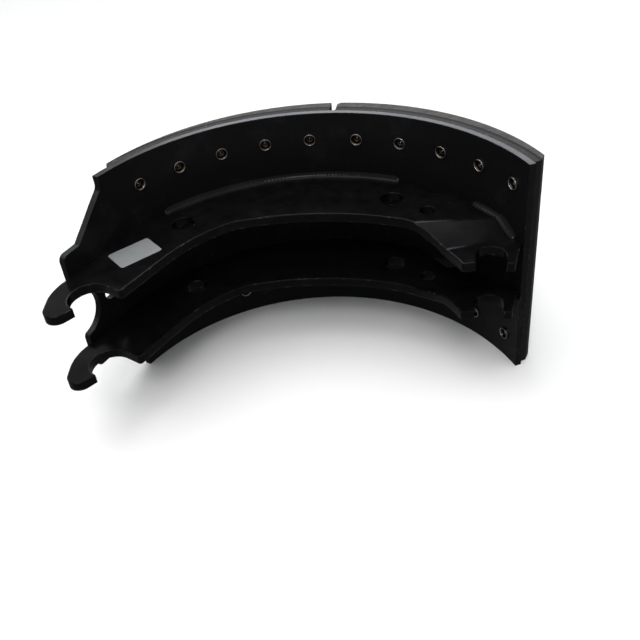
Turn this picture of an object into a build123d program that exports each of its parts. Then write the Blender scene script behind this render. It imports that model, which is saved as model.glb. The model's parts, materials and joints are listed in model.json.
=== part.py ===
"""Welded twin-web shoe of a drum brake, with two riveted lining blocks."""

import math
import os

from build123d import *

os.makedirs("parts", exist_ok=True)

# The frame: the origin lies on the axis of the anchor seats, halfway between the two
# webs. +Z runs along the drum axis and +Y points from the drum axis to the middle of
# the lining. Lengths are in millimetres, angles in degrees about the drum axis.

# Table: the rim plate that carries the linings
table_inner_r = 189.4
table_thickness = 5.6
table_width = 200.0
table_cam_angle = 29.3
nose_angle = 160.0

# Nose: the flat tapered end of the table at the anchor side
nose_length = 45.0
nose_end_inset = 42.5
nose_shoulder_inset = 10.4
nose_shoulder_back = 12.2
nose_taper_length = 25.5
nose_inner_fillet = 7.0
nose_corner_fillet = 6.0
nose_recess_r = 22.0
nose_recess_fillet = 4.0
nose_hole_r = 7.0
nose_hole_from_bend = 8.0

# Webs: the inner edge follows one radius, and its middle bellies inwards
web_thickness = 8.0
web_gap = 60.0
web_depth = 54.9
web_belly_depth = 10.5
web_belly_anchor_angle = 125.6
web_belly_cam_angle = 58.5
web_belly_fillet = 40.0
web_cam_angle = 30.5
web_tip_angle = 29.2
web_tip_fillet = 2.5
web_edge_end_angle = 157.0

# Anchor seat: the half-round hook that drops over the anchor pin. Its axis lies inside
# the table and a little below the drum axis.
anchor_inset = 22.4
anchor_drop = 1.5
anchor_seat_r = 17.0
anchor_wall = 16.5
anchor_mouth_angle = -26.0
anchor_crown_angle = 165.0
anchor_flank_angle = 190.0
anchor_toe_angle = 233.6
anchor_toe_fillet = 10.0
anchor_lug_length = 16.5
anchor_lug_fillet = 2.5

# Roller seat: the slot for the cam roller, with a half-round floor and straight sides
roller_seat_r = 12.0
roller_seat_inset = 29.0
roller_seat_angle = 29.51
roller_seat_depth = 11.0
roller_lug_width = 6.5
roller_lug_fillet = 2.0

# Joggle: the webs step towards each other at the roller end. Each bend line runs from
# the inner edge of the web to the table, and the web changes level between the lines.
joggle_depth = 10.0
joggle_reach = 50.0
joggle_fillet = 9.0
bend_inner_angle = 55.7
bend_table_angle = 39.2
foot_inner_angle = 39.8
foot_table_angle = 33.15

# Round holes of the webs, each set in from the table
large_hole_r = 10.0
anchor_hole_inset = 27.1
anchor_hole_angle = 139.0
middle_hole_inset = 30.3
middle_hole_angle = 69.97
small_hole_r = 6.7
small_hole_inset = 33.5
small_hole_angle = 56.5

# Notch between web and table, where the welds are interrupted
notch_start_angle = 65.5
notch_end_angle = 53.8
notch_wall = 8.2
notch_wall_angle = 253.0
notch_floor = 7.5
notch_floor_angle = 193.0
notch_fillet = 2.0

# Weld beads between the outer faces of the webs and the table
weld_leg = 5.0
weld_crown = 0.8
weld_root = 1.5
long_weld_cam_angle = 72.0
long_weld_anchor_angle = 139.6
short_weld_anchor_angle = 49.0

# Linings: the ground face is eccentric, so each block is thickest near the middle
lining_inset = 0.6
lining_thickness = 16.8
lining_face_x = 3.3
lining_face_y = 13.7
lining_gap = 5.6
lining_cam_angle = 30.2
lining_anchor_angle = 151.0
lining_chamfer = 6.0
lining_gap_chamfer = 3.0
lining_anchor_chamfer = 3.0

# Rivets: each head sits on the floor of its counterbore, above the back of the lining
rivet_shank_r = 4.0
rivet_clearance = 0.2
rivet_head_r = 7.2
rivet_head_height = 1.8
rivet_head_seat = 4.2
rivet_ring_r = 5.4
rivet_ring_height = 1.7
rivet_ring_chamfer = 0.7
rivet_flare_depth = 1.3
rivet_bore_r = 2.9
rivet_bore_depth = 12.5
counterbore_r = 8.2
rivet_row_inset = 24.6
rivet_first_angle = 6.37
rivet_pitch_angle = 12.12
rivets_per_row = 5

# Overrun of every cut past the faces that it goes through
overrun = 4.0

# Worked out from the sizes above
aligned = 1e-4
middle_angle = 90.0
table_outer_r = table_inner_r + table_thickness
half_table = table_width / 2
half_shoulder = half_table - nose_shoulder_inset
half_nose = half_table - nose_end_inset
half_lining = half_table - lining_inset
lining_face_r = table_outer_r + lining_thickness - lining_face_y
web_inner_r = table_inner_r - web_depth
web_belly_r = web_inner_r - web_belly_depth
drum_x = table_inner_r - anchor_inset
drum_y = anchor_drop
web_inner_z = web_gap / 2
web_outer_z = web_inner_z + web_thickness
anchor_outer_r = anchor_seat_r + anchor_wall
drum_axis = Axis((drum_x, drum_y, 0), (0, 0, 1))


def drum_plane(height):
    """Plane square to the drum axis, with its origin on that axis."""
    return Plane(origin=(drum_x, drum_y, height))


def polar(radius, angle):
    """Point at a radius and an angle about the drum axis."""
    turn = math.radians(angle)
    return (radius * math.cos(turn), radius * math.sin(turn))


def step(point, length, angle):
    """Point at a distance and a direction from another point."""
    turn = math.radians(angle)
    return (point[0] + length * math.cos(turn), point[1] + length * math.sin(turn))


def crossing(start, angle, other, other_angle):
    """Point where two lines cross, each given by a point and a direction."""
    first = (math.cos(math.radians(angle)), math.sin(math.radians(angle)))
    second = (math.cos(math.radians(other_angle)), math.sin(math.radians(other_angle)))
    across = first[0] * second[1] - first[1] * second[0]
    apart = (other[0] - start[0], other[1] - start[1])
    reach = (apart[0] * second[1] - apart[1] * second[0]) / across
    return (start[0] + reach * first[0], start[1] + reach * first[1])


def radial_plane(radius, angle, height):
    """Plane that faces away from the drum axis, with its own Y along the axis."""
    out = polar(1, angle)
    spot = polar(radius, angle)
    return Plane(
        origin=(drum_x + spot[0], drum_y + spot[1], height),
        x_dir=(-out[1], out[0], 0),
        z_dir=(out[0], out[1], 0),
    )


def corners(sketch, x, y):
    """The two corners of a sketch that lie nearest to (x, y) and (x, -y)."""
    spots = [Vector(x, y), Vector(x, -y)]
    return [
        min(sketch.vertices(), key=lambda corner: (corner.center() - spot).length)
        for spot in spots
    ]


# Rivet layout
drill_start_r = lining_face_r + lining_face_y + overrun
head_seat_r = table_outer_r + rivet_head_seat
shank_hole_r = rivet_shank_r + rivet_clearance
row_heights = (half_table - rivet_row_inset, rivet_row_inset - half_table)
cam_rivet_angles = [
    middle_angle - rivet_first_angle - place * rivet_pitch_angle
    for place in range(rivets_per_row)
]
anchor_rivet_angles = [2 * middle_angle - angle for angle in cam_rivet_angles]


def rivet_planes(angles, radius, heights=row_heights):
    """Planes that face outwards at each rivet of the given rows."""
    return [radial_plane(radius, angle, height) for height in heights for angle in angles]


# The nose leaves the arc as its tangent
nose_direction = nose_angle + middle_angle
nose_start = polar(table_inner_r, nose_angle)
nose_tip = step(nose_start, nose_length, nose_direction)
nose_plane = radial_plane(table_inner_r, nose_angle, 0)

# Table
with BuildPart() as shoe_table:
    with BuildSketch(drum_plane(-half_table)) as table_profile:
        with BuildLine():
            outer_start = polar(table_outer_r, nose_angle)
            outer_tip = step(outer_start, nose_length, nose_direction)
            CenterArc((0, 0), table_inner_r, table_cam_angle, nose_angle - table_cam_angle)
            Line(nose_start, nose_tip)
            Line(nose_tip, outer_tip)
            Line(outer_tip, outer_start)
            CenterArc((0, 0), table_outer_r, table_cam_angle, nose_angle - table_cam_angle)
            Line(polar(table_outer_r, table_cam_angle), polar(table_inner_r, table_cam_angle))
        make_face()
    extrude(amount=table_width)
    # The waste beside the tapered nose, in the plane of the nose
    with BuildSketch(nose_plane) as nose_waste:
        waste_end = nose_length + overrun
        with Locations(((waste_end - nose_shoulder_back) / 2, 0)):
            Rectangle(waste_end + nose_shoulder_back, table_width + 2 * overrun)
        with BuildLine():
            Polyline(
                (-nose_shoulder_back, -half_shoulder),
                (nose_taper_length, -half_nose),
                (nose_length, -half_nose),
                (nose_length, half_nose),
                (nose_taper_length, half_nose),
                (-nose_shoulder_back, half_shoulder),
                close=True,
            )
        make_face(mode=Mode.SUBTRACT)
        with Locations((nose_length, 0)):
            Circle(nose_recess_r)
        fillet(corners(nose_waste, -nose_shoulder_back, half_shoulder), nose_inner_fillet)
        fillet(corners(nose_waste, nose_length, half_nose), nose_corner_fillet)
        fillet(corners(nose_waste, nose_length, nose_recess_r), nose_recess_fillet)
        with Locations((nose_hole_from_bend, 0)):
            Circle(nose_hole_r)
    extrude(amount=table_thickness + overrun, both=True, mode=Mode.SUBTRACT)
    with Locations(*rivet_planes(cam_rivet_angles + anchor_rivet_angles, drill_start_r)):
        Hole(shank_hole_r, drill_start_r - table_inner_r + overrun)
shoe_table.part.label = "shoe_table"


def draw_web_outline():
    """Outline of a web about the drum axis, with its holes, seats and notch."""
    seat = (-drum_x, -drum_y)
    mouth_left = step(seat, anchor_seat_r, anchor_mouth_angle - middle_angle)
    mouth_right = step(seat, anchor_seat_r, anchor_mouth_angle + middle_angle)
    seat_floor = step(seat, anchor_seat_r, anchor_mouth_angle + 2 * middle_angle)
    flank = step(seat, anchor_outer_r, anchor_flank_angle)
    crown = step(seat, anchor_outer_r, anchor_crown_angle)
    flank_direction = anchor_flank_angle + middle_angle
    toe = crossing(flank, flank_direction, mouth_left, anchor_toe_angle)
    lug = step(mouth_right, anchor_lug_length, anchor_mouth_angle)
    edge_end = polar(web_inner_r, web_edge_end_angle)
    belly_start = polar(web_inner_r, web_belly_anchor_angle)
    belly_end = polar(web_inner_r, web_belly_cam_angle)
    tip = polar(web_inner_r, web_tip_angle)
    roller_seat = polar(table_inner_r - roller_seat_inset, roller_seat_angle)
    roller_left = (roller_seat[0] - roller_seat_r, roller_seat[1])
    roller_top = (roller_seat[0], roller_seat[1] + roller_seat_r)
    roller_right = (roller_seat[0] + roller_seat_r, roller_seat[1])
    roller_mouth = roller_seat[1] - roller_seat_depth
    roller_lug = (roller_right[0] + roller_lug_width, roller_mouth)
    with BuildLine() as outline:
        CenterArc((0, 0), table_inner_r, web_cam_angle, nose_angle - web_cam_angle)
        Line(nose_start, nose_tip)
        ThreePointArc(nose_tip, crown, flank)
        Polyline(flank, toe, mouth_left)
        ThreePointArc(mouth_left, seat_floor, mouth_right)
        Polyline(mouth_right, lug, edge_end)
        CenterArc(
            (0, 0), web_inner_r, web_edge_end_angle, web_belly_anchor_angle - web_edge_end_angle
        )
        ThreePointArc(belly_start, polar(web_belly_r, middle_angle), belly_end)
        CenterArc((0, 0), web_inner_r, web_belly_cam_angle, web_tip_angle - web_belly_cam_angle)
        Polyline(tip, (roller_left[0], roller_mouth), roller_left)
        ThreePointArc(roller_left, roller_top, roller_right)
        Polyline(
            roller_right,
            (roller_right[0], roller_mouth),
            roller_lug,
            polar(table_inner_r, web_cam_angle),
        )
    make_face(outline.edges())
    return toe, lug, tip, roller_lug, (belly_start, belly_end)


def draw_notch():
    """Notch that opens the edge of a web towards the table."""
    start = polar(table_inner_r, notch_start_angle)
    end = polar(table_inner_r, notch_end_angle)
    corner = step(end, notch_wall, notch_wall_angle)
    deep = step(corner, notch_floor, notch_floor_angle)
    with BuildLine() as outline:
        Polyline(
            polar(table_inner_r + overrun, notch_start_angle),
            start,
            deep,
            corner,
            end,
            polar(table_inner_r + overrun, notch_end_angle),
            close=True,
        )
    make_face(outline.edges())
    return deep, corner


def nearest(sketch, points):
    """The corner of a sketch nearest to each point."""
    return [
        min(sketch.vertices(), key=lambda corner: (corner.center() - Vector(*point)).length)
        for point in points
    ]


with BuildSketch() as web_notch:
    notch_corners = draw_notch()
    fillet(nearest(web_notch, notch_corners), notch_fillet)

with BuildSketch() as web_outline:
    toe, lug, tip, roller_lug, belly_ends = draw_web_outline()
    fillet(nearest(web_outline, [toe]), anchor_toe_fillet)
    fillet(nearest(web_outline, [lug]), anchor_lug_fillet)
    fillet(nearest(web_outline, [tip]), web_tip_fillet)
    fillet(nearest(web_outline, [roller_lug]), roller_lug_fillet)
    fillet(nearest(web_outline, belly_ends), web_belly_fillet)
    with Locations(
        polar(table_inner_r - anchor_hole_inset, anchor_hole_angle),
        polar(table_inner_r - middle_hole_inset, middle_hole_angle),
    ):
        Circle(large_hole_r, mode=Mode.SUBTRACT)
    with Locations(polar(table_inner_r - small_hole_inset, small_hole_angle)):
        Circle(small_hole_r, mode=Mode.SUBTRACT)
    add(web_notch.sketch, mode=Mode.SUBTRACT)

def fold_line(inner_angle, table_angle):
    """Ends and direction of a fold across the web, run past both of its edges."""
    start = polar(web_inner_r, inner_angle)
    end = polar(table_inner_r, table_angle)
    angle = math.degrees(math.atan2(end[1] - start[1], end[0] - start[0]))
    return (step(start, -joggle_reach, angle), step(end, joggle_reach, angle)), angle


# The bent sheet that the upper web is cut from
bend_line, bend_angle = fold_line(bend_inner_angle, bend_table_angle)
foot_line, foot_angle = fold_line(foot_inner_angle, foot_table_angle)
tip_level = web_inner_z - joggle_depth
sheet_side = 2 * (table_outer_r + anchor_outer_r)


def draw_beyond(line):
    """Field on the roller side of a bend line, down to the height of the drum axis."""
    with BuildLine() as outline:
        Polyline(line[0], line[1], (line[1][0], 0), (line[0][0], 0), close=True)
    make_face(outline.edges())


def bend_plane(line, angle, level):
    """Upright plane along a bend line, centred on the sheet there."""
    turn = math.radians(angle)
    return Plane(
        origin=(
            drum_x + (line[0][0] + line[1][0]) / 2,
            drum_y + (line[0][1] + line[1][1]) / 2,
            level + web_thickness / 2,
        ),
        x_dir=(math.cos(turn), math.sin(turn), 0),
        z_dir=(math.sin(turn), -math.cos(turn), 0),
    )


def lies_along(edge, line):
    """Whether a straight edge lies above or below a bend line."""
    way = Vector(line[1][0] - line[0][0], line[1][1] - line[0][1]).normalized()
    apart = edge.center() - Vector(drum_x + line[0][0], drum_y + line[0][1])
    aside = abs(apart.X * way.Y - apart.Y * way.X)
    return aside < joggle_fillet / 2 and abs(edge.tangent_at(0).dot(way)) > 1 - aligned


with BuildSketch() as beyond_bend:
    draw_beyond(bend_line)

with BuildPart() as web_sheet:
    with BuildSketch(drum_plane(web_inner_z)):
        Rectangle(sheet_side, sheet_side)
        add(beyond_bend.sketch, mode=Mode.SUBTRACT)
    extrude(amount=web_thickness)
    with BuildSketch(drum_plane(tip_level)):
        draw_beyond(foot_line)
    extrude(amount=web_thickness)
    with BuildSketch(bend_plane(bend_line, bend_angle, web_inner_z)) as ramp_top:
        Rectangle(math.dist(*bend_line), web_thickness)
    with BuildSketch(bend_plane(foot_line, foot_angle, tip_level)) as ramp_foot:
        Rectangle(math.dist(*foot_line), web_thickness)
    loft(ruled=True)

with BuildPart() as upper_web:
    with BuildSketch(drum_plane(tip_level - overrun)):
        add(web_outline.sketch)
    extrude(amount=web_outer_z - tip_level + 2 * overrun)
    add(web_sheet.part, mode=Mode.INTERSECT)
    straight = upper_web.edges().filter_by(GeomType.LINE)
    folds = [edge for edge in straight for line in (bend_line, foot_line) if lies_along(edge, line)]
    fillet(folds, joggle_fillet)
upper_web.part.label = "upper_web"

with BuildPart() as lower_web:
    mirror(upper_web.part, about=Plane.XY)
lower_web.part.label = "lower_web"


def weld_section(angle, height):
    """Plane of a weld's section, with its origin in the corner that the bead fills."""
    out = polar(1, angle)
    corner = polar(table_inner_r, angle)
    return Plane(
        origin=(drum_x + corner[0], drum_y + corner[1], height),
        x_dir=(out[0], out[1], 0),
        z_dir=(out[1], -out[0], 0),
    )


def draw_bead():
    """Section of a bead: two legs and a slightly crowned face."""
    with BuildLine() as outline:
        Polyline((-weld_leg, 0), (0, 0), (0, weld_leg))
        crown_reach = weld_leg / 2 + weld_crown
        ThreePointArc((0, weld_leg), (-crown_reach, crown_reach), (-weld_leg, 0))
    make_face(outline.edges())


def draw_rooted_bead():
    """Section of a bead with a root inside web and table, to be trimmed by both."""
    with BuildLine() as outline:
        Polyline(
            (-weld_leg, 0),
            (-weld_leg, -weld_root),
            (weld_root, -weld_root),
            (weld_root, weld_leg),
            (0, weld_leg),
        )
        crown_reach = weld_leg / 2 + weld_crown
        ThreePointArc((0, weld_leg), (-crown_reach, crown_reach), (-weld_leg, 0))
    make_face(outline.edges())


with BuildPart() as upper_long_weld:
    with BuildSketch(weld_section(long_weld_cam_angle, web_outer_z)):
        draw_bead()
    revolve(axis=drum_axis, revolution_arc=long_weld_anchor_angle - long_weld_cam_angle)
upper_long_weld.part.label = "upper_long_weld"

# The short bead runs level up to the bend and then follows the ramp down to its foot
with BuildPart() as upper_short_weld:
    with BuildSketch(weld_section(bend_table_angle, web_outer_z)):
        draw_rooted_bead()
    revolve(axis=drum_axis, revolution_arc=short_weld_anchor_angle - bend_table_angle)
    with BuildSketch(weld_section(bend_table_angle, web_outer_z)):
        draw_rooted_bead()
    with BuildSketch(weld_section(foot_table_angle, web_outer_z - joggle_depth)):
        draw_rooted_bead()
    loft(ruled=True)
    add(upper_web.part, mode=Mode.SUBTRACT)
    add(shoe_table.part, mode=Mode.SUBTRACT)
upper_short_weld.part.label = "upper_short_weld"

with BuildPart() as lower_long_weld:
    mirror(upper_long_weld.part, about=Plane.XY)
lower_long_weld.part.label = "lower_long_weld"

with BuildPart() as lower_short_weld:
    mirror(upper_short_weld.part, about=Plane.XY)
lower_short_weld.part.label = "lower_short_weld"

# Linings
def face_point(angle):
    """Point of the ground lining face at an angle about the drum axis."""
    out = polar(1, angle)
    along = lining_face_x * out[0] + lining_face_y * out[1]
    apart = lining_face_x**2 + lining_face_y**2
    return polar(along + math.sqrt(along**2 + lining_face_r**2 - apart), angle)


def draw_lining(gap_side, end_angle):
    """Plan of a lining block between the gap at the middle and its outer end."""
    gap_edge = gap_side * lining_gap / 2
    with BuildLine() as outline:
        Polyline(
            crossing((gap_edge, 0), middle_angle, (0, 0), end_angle),
            (gap_edge, sheet_side),
            polar(2 * sheet_side, (middle_angle + end_angle) / 2),
            polar(sheet_side, end_angle),
            close=True,
        )
    make_face(outline.edges())
    with Locations((lining_face_x, lining_face_y)):
        Circle(lining_face_r, mode=Mode.INTERSECT)
    Circle(table_outer_r, mode=Mode.SUBTRACT)


gap_corner = (lining_gap / 2, face_point(middle_angle)[1])
with BuildPart() as cam_end_lining:
    with BuildSketch(drum_plane(-half_lining)) as cam_block:
        draw_lining(1, lining_cam_angle)
        chamfer(nearest(cam_block, [face_point(lining_cam_angle)]), lining_chamfer)
        chamfer(nearest(cam_block, [gap_corner]), lining_gap_chamfer)
    extrude(amount=2 * half_lining)
    with Locations(*rivet_planes(cam_rivet_angles, drill_start_r)):
        CounterBoreHole(
            shank_hole_r, counterbore_r, drill_start_r - head_seat_r, drill_start_r - table_inner_r
        )
cam_end_lining.part.label = "cam_end_lining"

with BuildPart() as anchor_end_lining:
    with BuildSketch(drum_plane(-half_lining)) as anchor_block:
        draw_lining(-1, lining_anchor_angle)
        chamfer(
            nearest(anchor_block, [face_point(lining_anchor_angle)]), lining_anchor_chamfer
        )
    extrude(amount=2 * half_lining)
    with Locations(*rivet_planes(anchor_rivet_angles, drill_start_r)):
        CounterBoreHole(
            shank_hole_r, counterbore_r, drill_start_r - head_seat_r, drill_start_r - table_inner_r
        )
anchor_end_lining.part.label = "anchor_end_lining"

# Rivet: the ring is clinched on the inner face of the table, which curves away from it
ring_seat_r = math.sqrt(table_inner_r**2 - rivet_ring_r**2)
grip = head_seat_r - ring_seat_r
with BuildPart() as rivet:
    with BuildSketch(Plane.XZ):
        with BuildLine():
            Polyline(
                (0, rivet_bore_depth - rivet_ring_height),
                (0, grip + rivet_head_height),
                (rivet_head_r, grip + rivet_head_height),
                (rivet_head_r, grip),
                (rivet_shank_r, grip),
                (rivet_shank_r, 0),
                (rivet_ring_r, 0),
                (rivet_ring_r, rivet_ring_chamfer - rivet_ring_height),
                (rivet_ring_r - rivet_ring_chamfer, -rivet_ring_height),
                (rivet_bore_r, rivet_flare_depth - rivet_ring_height),
                (rivet_bore_r, rivet_bore_depth - rivet_ring_height),
                close=True,
            )
        make_face()
    revolve(axis=Axis.Z)

upper_height, lower_height = row_heights

with BuildPart() as cam_end_upper_rivets:
    with Locations(*rivet_planes(cam_rivet_angles, ring_seat_r, [upper_height])):
        add(rivet.part)
cam_end_upper_rivets.part.label = "cam_end_upper_rivets"

with BuildPart() as cam_end_lower_rivets:
    with Locations(*rivet_planes(cam_rivet_angles, ring_seat_r, [lower_height])):
        add(rivet.part)
cam_end_lower_rivets.part.label = "cam_end_lower_rivets"

with BuildPart() as anchor_end_upper_rivets:
    with Locations(*rivet_planes(anchor_rivet_angles, ring_seat_r, [upper_height])):
        add(rivet.part)
anchor_end_upper_rivets.part.label = "anchor_end_upper_rivets"

with BuildPart() as anchor_end_lower_rivets:
    with Locations(*rivet_planes(anchor_rivet_angles, ring_seat_r, [lower_height])):
        add(rivet.part)
anchor_end_lower_rivets.part.label = "anchor_end_lower_rivets"

export_step(shoe_table.part, "parts/shoe_table.step")
export_step(upper_web.part, "parts/upper_web.step")
export_step(lower_web.part, "parts/lower_web.step")
export_step(upper_long_weld.part, "parts/upper_long_weld.step")
export_step(upper_short_weld.part, "parts/upper_short_weld.step")
export_step(lower_long_weld.part, "parts/lower_long_weld.step")
export_step(lower_short_weld.part, "parts/lower_short_weld.step")
export_step(cam_end_lining.part, "parts/cam_end_lining.step")
export_step(anchor_end_lining.part, "parts/anchor_end_lining.step")
export_step(cam_end_upper_rivets.part, "parts/cam_end_upper_rivets.step")
export_step(cam_end_lower_rivets.part, "parts/cam_end_lower_rivets.step")
export_step(anchor_end_upper_rivets.part, "parts/anchor_end_upper_rivets.step")
export_step(anchor_end_lower_rivets.part, "parts/anchor_end_lower_rivets.step")
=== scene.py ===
"""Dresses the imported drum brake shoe: enamel, friction lining, rivets, welds and label.

Every length in the classes below is in millimetres and every angle in degrees about the
drum axis, unless a name or a comment says otherwise. The frame itself is in metres.
"""

import json
import logging
import math
import random
from dataclasses import dataclass
from enum import Enum

import bpy
from mathutils import Matrix, Vector


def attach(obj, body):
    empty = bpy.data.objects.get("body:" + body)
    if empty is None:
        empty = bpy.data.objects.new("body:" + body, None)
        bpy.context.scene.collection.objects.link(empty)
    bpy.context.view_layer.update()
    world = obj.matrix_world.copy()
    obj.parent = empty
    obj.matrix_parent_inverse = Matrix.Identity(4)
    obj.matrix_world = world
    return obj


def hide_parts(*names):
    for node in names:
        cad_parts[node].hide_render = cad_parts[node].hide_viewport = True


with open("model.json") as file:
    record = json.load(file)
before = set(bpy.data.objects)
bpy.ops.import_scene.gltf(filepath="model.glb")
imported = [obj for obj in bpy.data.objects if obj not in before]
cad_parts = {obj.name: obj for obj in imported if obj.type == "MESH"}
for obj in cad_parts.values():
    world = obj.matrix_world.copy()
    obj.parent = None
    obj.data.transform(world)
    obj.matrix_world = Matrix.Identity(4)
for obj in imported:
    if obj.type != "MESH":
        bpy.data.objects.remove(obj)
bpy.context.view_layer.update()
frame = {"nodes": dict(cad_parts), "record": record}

log = logging.getLogger("brake_shoe")

Colour = tuple[float, float, float, float]
Triple = tuple[float, float, float]
Material = bpy.types.Material
Tree = bpy.types.NodeTree
Socket = bpy.types.NodeSocket
Thing = bpy.types.Object

MM = 0.001

# Socket numbers of a colour Mix node, whose socket names come in several kinds
MIX_FIRST = 6
MIX_SECOND = 7
MIX_RESULT = 2


class Slot(Enum):
    """Material slots of the record."""

    PAINT = "black_paint"
    LINING = "friction_lining"
    RIVET = "rivet_steel"


class Side(Enum):
    """The two halves of the shoe, mirrored about the middle of the drum's width."""

    UPPER = 1
    LOWER = -1

    @property
    def half(self) -> str:
        """The word for this half in the names of its nodes."""
        return self.name.lower()


class Chance(Enum):
    """Random values that each cell of a speckled pattern holds."""

    OF_FLAKE = "Red"
    OF_FIBRE = "Green"


class Metal(Enum):
    """Places of the two metals among the materials of a rivet."""

    RING = 0
    CUP = 1


def linear(hex_colour: str) -> Colour:
    """Turns an sRGB hex colour into linear RGBA.

    Args:
        hex_colour: six hex digits after a hash sign.

    Returns:
        The linear red, green and blue, and an alpha of one.
    """
    channels = [int(hex_colour[place : place + 2], 16) / 255 for place in (1, 3, 5)]
    red, green, blue = (
        value / 12.92 if value <= 0.04045 else ((value + 0.055) / 1.055) ** 2.4
        for value in channels
    )
    return (red, green, blue, 1.0)


def per(size_mm: float) -> float:
    """Texture scale that gives features of a size in millimetres."""
    return 1 / (size_mm * MM)


def add_node(
    tree: Tree, kind: str, inputs: dict | None = None, **settings: object
) -> bpy.types.Node:
    """Adds a node with its settings, input values and links.

    Args:
        tree: the node tree that gets the node.
        kind: the node's type.
        inputs: socket name or index to a value, or to the output socket linked to it.
        settings: properties of the node itself.

    Returns:
        The new node.
    """
    node = tree.nodes.new(kind)
    for name, value in settings.items():
        setattr(node, name, value)
    for name, value in (inputs or {}).items():
        if isinstance(value, Socket):
            tree.links.new(value, node.inputs[name])
        else:
            node.inputs[name].default_value = value
    return node


def new_tree(name: str) -> tuple[Material, Tree]:
    """Makes an empty node material.

    Args:
        name: the finish's name.

    Returns:
        The material and its tree.
    """
    material = bpy.data.materials.new(name)
    material.use_nodes = True
    material.node_tree.nodes.clear()
    return material, material.node_tree


@dataclass(frozen=True)
class Drum:
    """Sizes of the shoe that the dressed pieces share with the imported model."""

    axis_x: float = 167.0
    axis_y: float = 1.5
    table_inner_r: float = 189.4
    table_outer_r: float = 195.0
    web_outer_z: float = 38.0

    def outwards(self, angle: float) -> Vector:
        """Unit vector from the drum axis at an angle."""
        turn = math.radians(angle)
        return Vector((math.cos(turn), math.sin(turn), 0.0))

    def point(self, radius: float, angle: float, height: float) -> Vector:
        """Point in metres, from a radius, an angle and a height."""
        centre = Vector((self.axis_x, self.axis_y, height))
        return (centre + radius * self.outwards(angle)) * MM


@dataclass(frozen=True)
class Specks:
    """Specks in random cells, and only in the cells whose draw is above the rarity.

    The scale counts cells to a unit of the place. Reach and edge are in cells.
    """

    chance: Chance
    scale: float
    rarity: float
    reach: float
    edge: float
    cover: float

    def lay(self, tree: Tree, place: Socket) -> Socket:
        """Adds the specks to a tree.

        Args:
            tree: the node tree.
            place: coordinates that the specks lie on.

        Returns:
            The mask of the specks.
        """
        cells = add_node(
            tree, "ShaderNodeTexVoronoi", {"Vector": place, "Scale": self.scale}
        ).outputs
        drawn = add_node(tree, "ShaderNodeSeparateColor", {"Color": cells["Color"]})
        size = add_node(
            tree,
            "ShaderNodeMapRange",
            {
                "Value": drawn.outputs[self.chance.value],
                "From Min": self.rarity,
                "To Max": self.reach,
            },
        )
        inside = add_node(
            tree,
            "ShaderNodeMath",
            {0: size.outputs["Result"], 1: cells["Distance"]},
            operation="SUBTRACT",
        )
        return add_node(
            tree,
            "ShaderNodeMapRange",
            {"Value": inside.outputs["Value"], "From Max": self.edge, "To Max": self.cover},
        ).outputs["Result"]


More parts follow.
